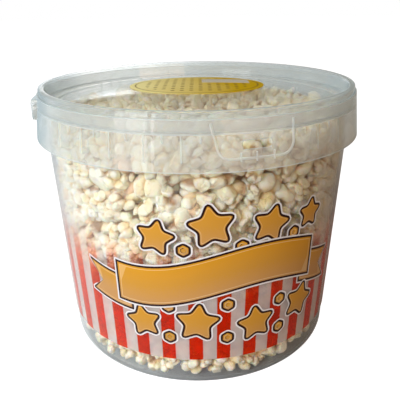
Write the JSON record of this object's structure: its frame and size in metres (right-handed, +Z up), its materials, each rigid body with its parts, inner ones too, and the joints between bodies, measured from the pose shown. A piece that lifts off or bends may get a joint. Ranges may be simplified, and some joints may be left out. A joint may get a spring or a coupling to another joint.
{
  "type": "bucket of popcorn",
  "caption": "Shut clear plastic pail of popcorn with a snapped-on lid, a locking collar and a striped film; stands on its foot.",
  "frame": {"origin": "centre of the foot, at the bottom of the object's box", "axes": "+Z up, -Y towards the front with the tear-off tab a little to its right, +X to the right"},
  "size_m": [0.238, 0.2344, 0.1943],
  "materials": {
    "tub_plastic": "clear, slightly milky moulded polypropylene",
    "collar_plastic": "clear, slightly milky moulded polypropylene",
    "lid_plastic": "clear, slightly milky moulded polypropylene",
    "printed_film": "printed film moulded on to the tub, glossy, fading to clear",
    "sticker_paper": "yellow coated paper label",
    "popcorn": "dry popped maize, cream white with tan hulls"
  },
  "bodies": {
    "root": {"tub": "tub_plastic", "collar": "collar_plastic", "lid": "lid_plastic", "film": "printed_film", "lid_sticker": "sticker_paper", "popcorn": "popcorn"}
  },
  "joints": []
}
